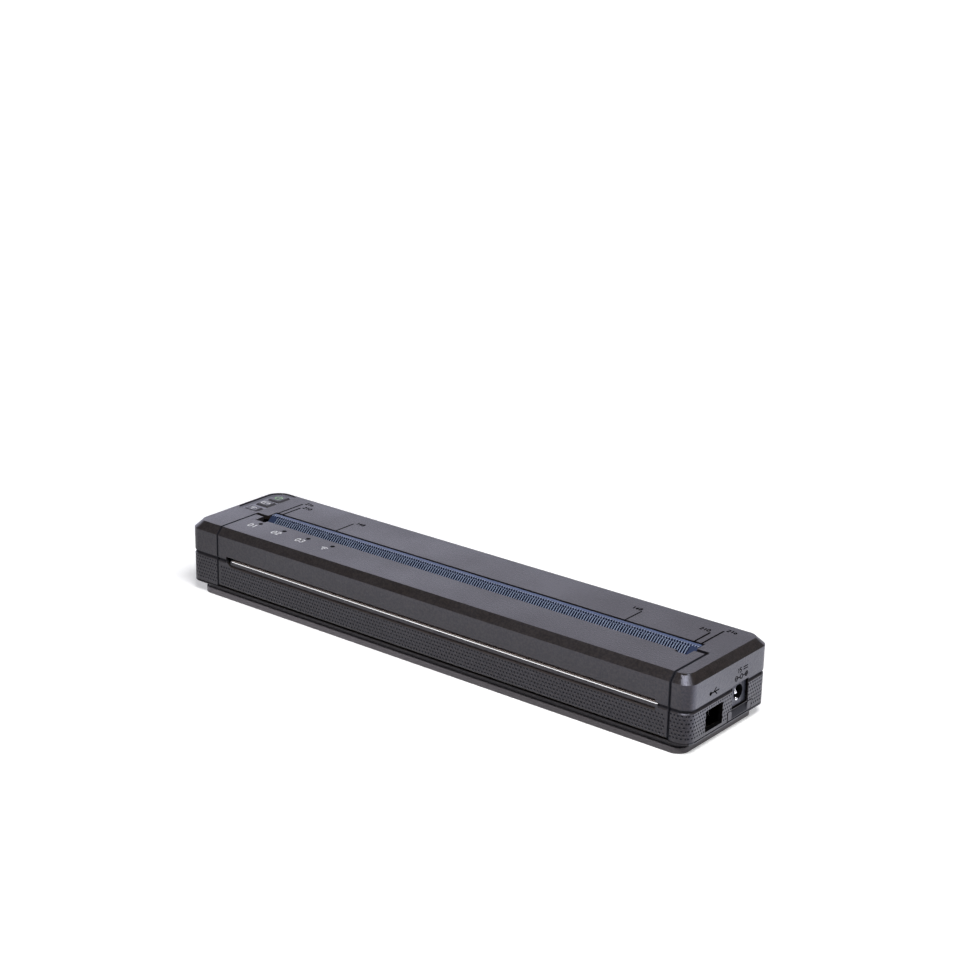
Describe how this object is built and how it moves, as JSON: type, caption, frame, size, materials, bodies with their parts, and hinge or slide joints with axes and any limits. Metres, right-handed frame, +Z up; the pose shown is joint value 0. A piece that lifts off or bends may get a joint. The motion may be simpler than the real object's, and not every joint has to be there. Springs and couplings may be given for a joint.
{
  "type": "portable thermal printer",
  "caption": "Slim portable thermal printer for page-wide paper, with a front-hinged release cover, ribbed paper guide, tear bar, keys and battery bay.",
  "frame": {"origin": "middle of the rest face, on the surface that the printer stands on", "axes": "+X along the length to the end with the sockets, -Y out of the front with the exit slot, +Z up"},
  "size_m": [0.255, 0.055, 0.0312],
  "materials": {
    "dark_case": "fine-grained satin moulded plastic",
    "dark_base": "fine-grained satin moulded plastic",
    "button_plastic": "satin moulded plastic with printed sign",
    "guide_plastic": "satin blue-grey moulded plastic",
    "pad_rubber": "matt",
    "roller_rubber": "ground, matt",
    "bright_steel": "bright drawn steel",
    "zinc_steel": "zinc plated",
    "sink_aluminium": "milled",
    "head_ceramic": "glazed ceramic strip",
    "gear_plastic": "natural acetal",
    "brass": "machined",
    "board_green": "lacquered circuit board",
    "chip_black": "matt moulded",
    "jack_plastic": "smooth moulded",
    "pin_metal": "plated",
    "cell_green": "printed sleeve, left bare",
    "wrap_blue": "shrink film",
    "lens_white": "clear-white moulded"
  },
  "bodies": {
    "case": {"upper_case": "dark_case", "lower_case": "dark_case", "base_pan": "dark_base", "foot_pads": "pad_rubber", "battery_cells": "cell_green", "battery_wrap": "wrap_blue", "battery_contacts": "brass", "case_screws": "zinc_steel", "frame_screws": "zinc_steel", "hinge_pins": "bright_steel", "paper_guide": "guide_plastic", "idler_axle": "bright_steel", "stepper_motor": "zinc_steel", "motor_plate": "zinc_steel", "printer_frame": "zinc_steel", "head_rod": "bright_steel", "head_springs": "zinc_steel", "main_board": "board_green", "board_chips": "chip_black", "wireless_module": "zinc_steel", "board_screws": "zinc_steel", "io_board": "board_green", "data_port": "zinc_steel", "data_tongue": "chip_black", "power_jack": "jack_plastic", "power_pin": "pin_metal", "button_board": "board_green", "button_switches": "chip_black"},
    "cover": {"release_cover": "dark_case", "tear_bar": "bright_steel", "light_lenses": "lens_white", "light_board": "board_green", "paper_sensor": "chip_black", "platen_bushes": "gear_plastic"},
    "platen": {"platen_shaft": "bright_steel", "platen_roller": "roller_rubber", "platen_gear": "gear_plastic"},
    "idler": {"idler_gear": "gear_plastic"},
    "pinion": {"motor_pinion": "brass", "motor_shaft": "bright_steel"},
    "head": {"heat_sink": "sink_aluminium", "print_head": "head_ceramic"},
    "power_key": {"power_button": "button_plastic"},
    "feed_key": {"feed_button": "button_plastic"},
    "wireless_key": {"wireless_button": "button_plastic"},
    "battery_door": {"battery_cover": "dark_base"},
    "door_latch": {"battery_latch": "dark_base"}
  },
  "joints": [
    {"name": "cover_hinge", "type": "hinge", "parent": "case", "child": "cover", "pos_m": [0, -0.0262, 0.0062], "axis": [1, 0, 0], "range_deg": [0, 65]},
    {"name": "platen_spin", "type": "hinge", "parent": "cover", "child": "platen", "pos_m": [0, -0.0172, 0.02365], "axis": [1, 0, 0], "continuous": true},
    {"name": "idler_spin", "type": "hinge", "parent": "case", "child": "idler", "pos_m": [-0.10905, -0.00778, 0.01705], "axis": [1, 0, 0], "continuous": true},
    {"name": "pinion_spin", "type": "hinge", "parent": "case", "child": "pinion", "pos_m": [-0.10905, -0.01728, 0.01393], "axis": [1, 0, 0], "continuous": true},
    {"name": "head_tilt", "type": "hinge", "parent": "case", "child": "head", "pos_m": [0, -0.0051, 0.01575], "axis": [1, 0, 0], "range_deg": [0, 1.5], "stiffness_Nm_per_rad": 0.6, "springref_deg": -3.44, "deforming": ["head_springs"]},
    {"name": "power_press", "type": "slide", "parent": "case", "child": "power_key", "axis": [0, 0, -1], "range_m": [0, 0.00035], "stiffness_N_per_m": 1500, "springref_m": -0.0004},
    {"name": "feed_press", "type": "slide", "parent": "case", "child": "feed_key", "axis": [0, 0, -1], "range_m": [0, 0.00035], "stiffness_N_per_m": 1500, "springref_m": -0.0004},
    {"name": "wireless_press", "type": "slide", "parent": "case", "child": "wireless_key", "axis": [0, 0, -1], "range_m": [0, 0.00035], "stiffness_N_per_m": 1500, "springref_m": -0.0004},
    {"name": "battery_cover_slide", "type": "slide", "parent": "case", "child": "battery_door", "axis": [-1, 0, 0], "range_m": [0, 0.004]},
    {"name": "battery_latch_press", "type": "slide", "parent": "case", "child": "door_latch", "axis": [-1, 0, 0], "range_m": [0, 0.001], "stiffness_N_per_m": 600, "springref_m": -0.0005}
  ],
  "couplings": [
    {"joint": "idler_spin", "follows": "platen_spin", "ratio": -0.64286},
    {"joint": "pinion_spin", "follows": "platen_spin", "ratio": 1.5}
  ]
}
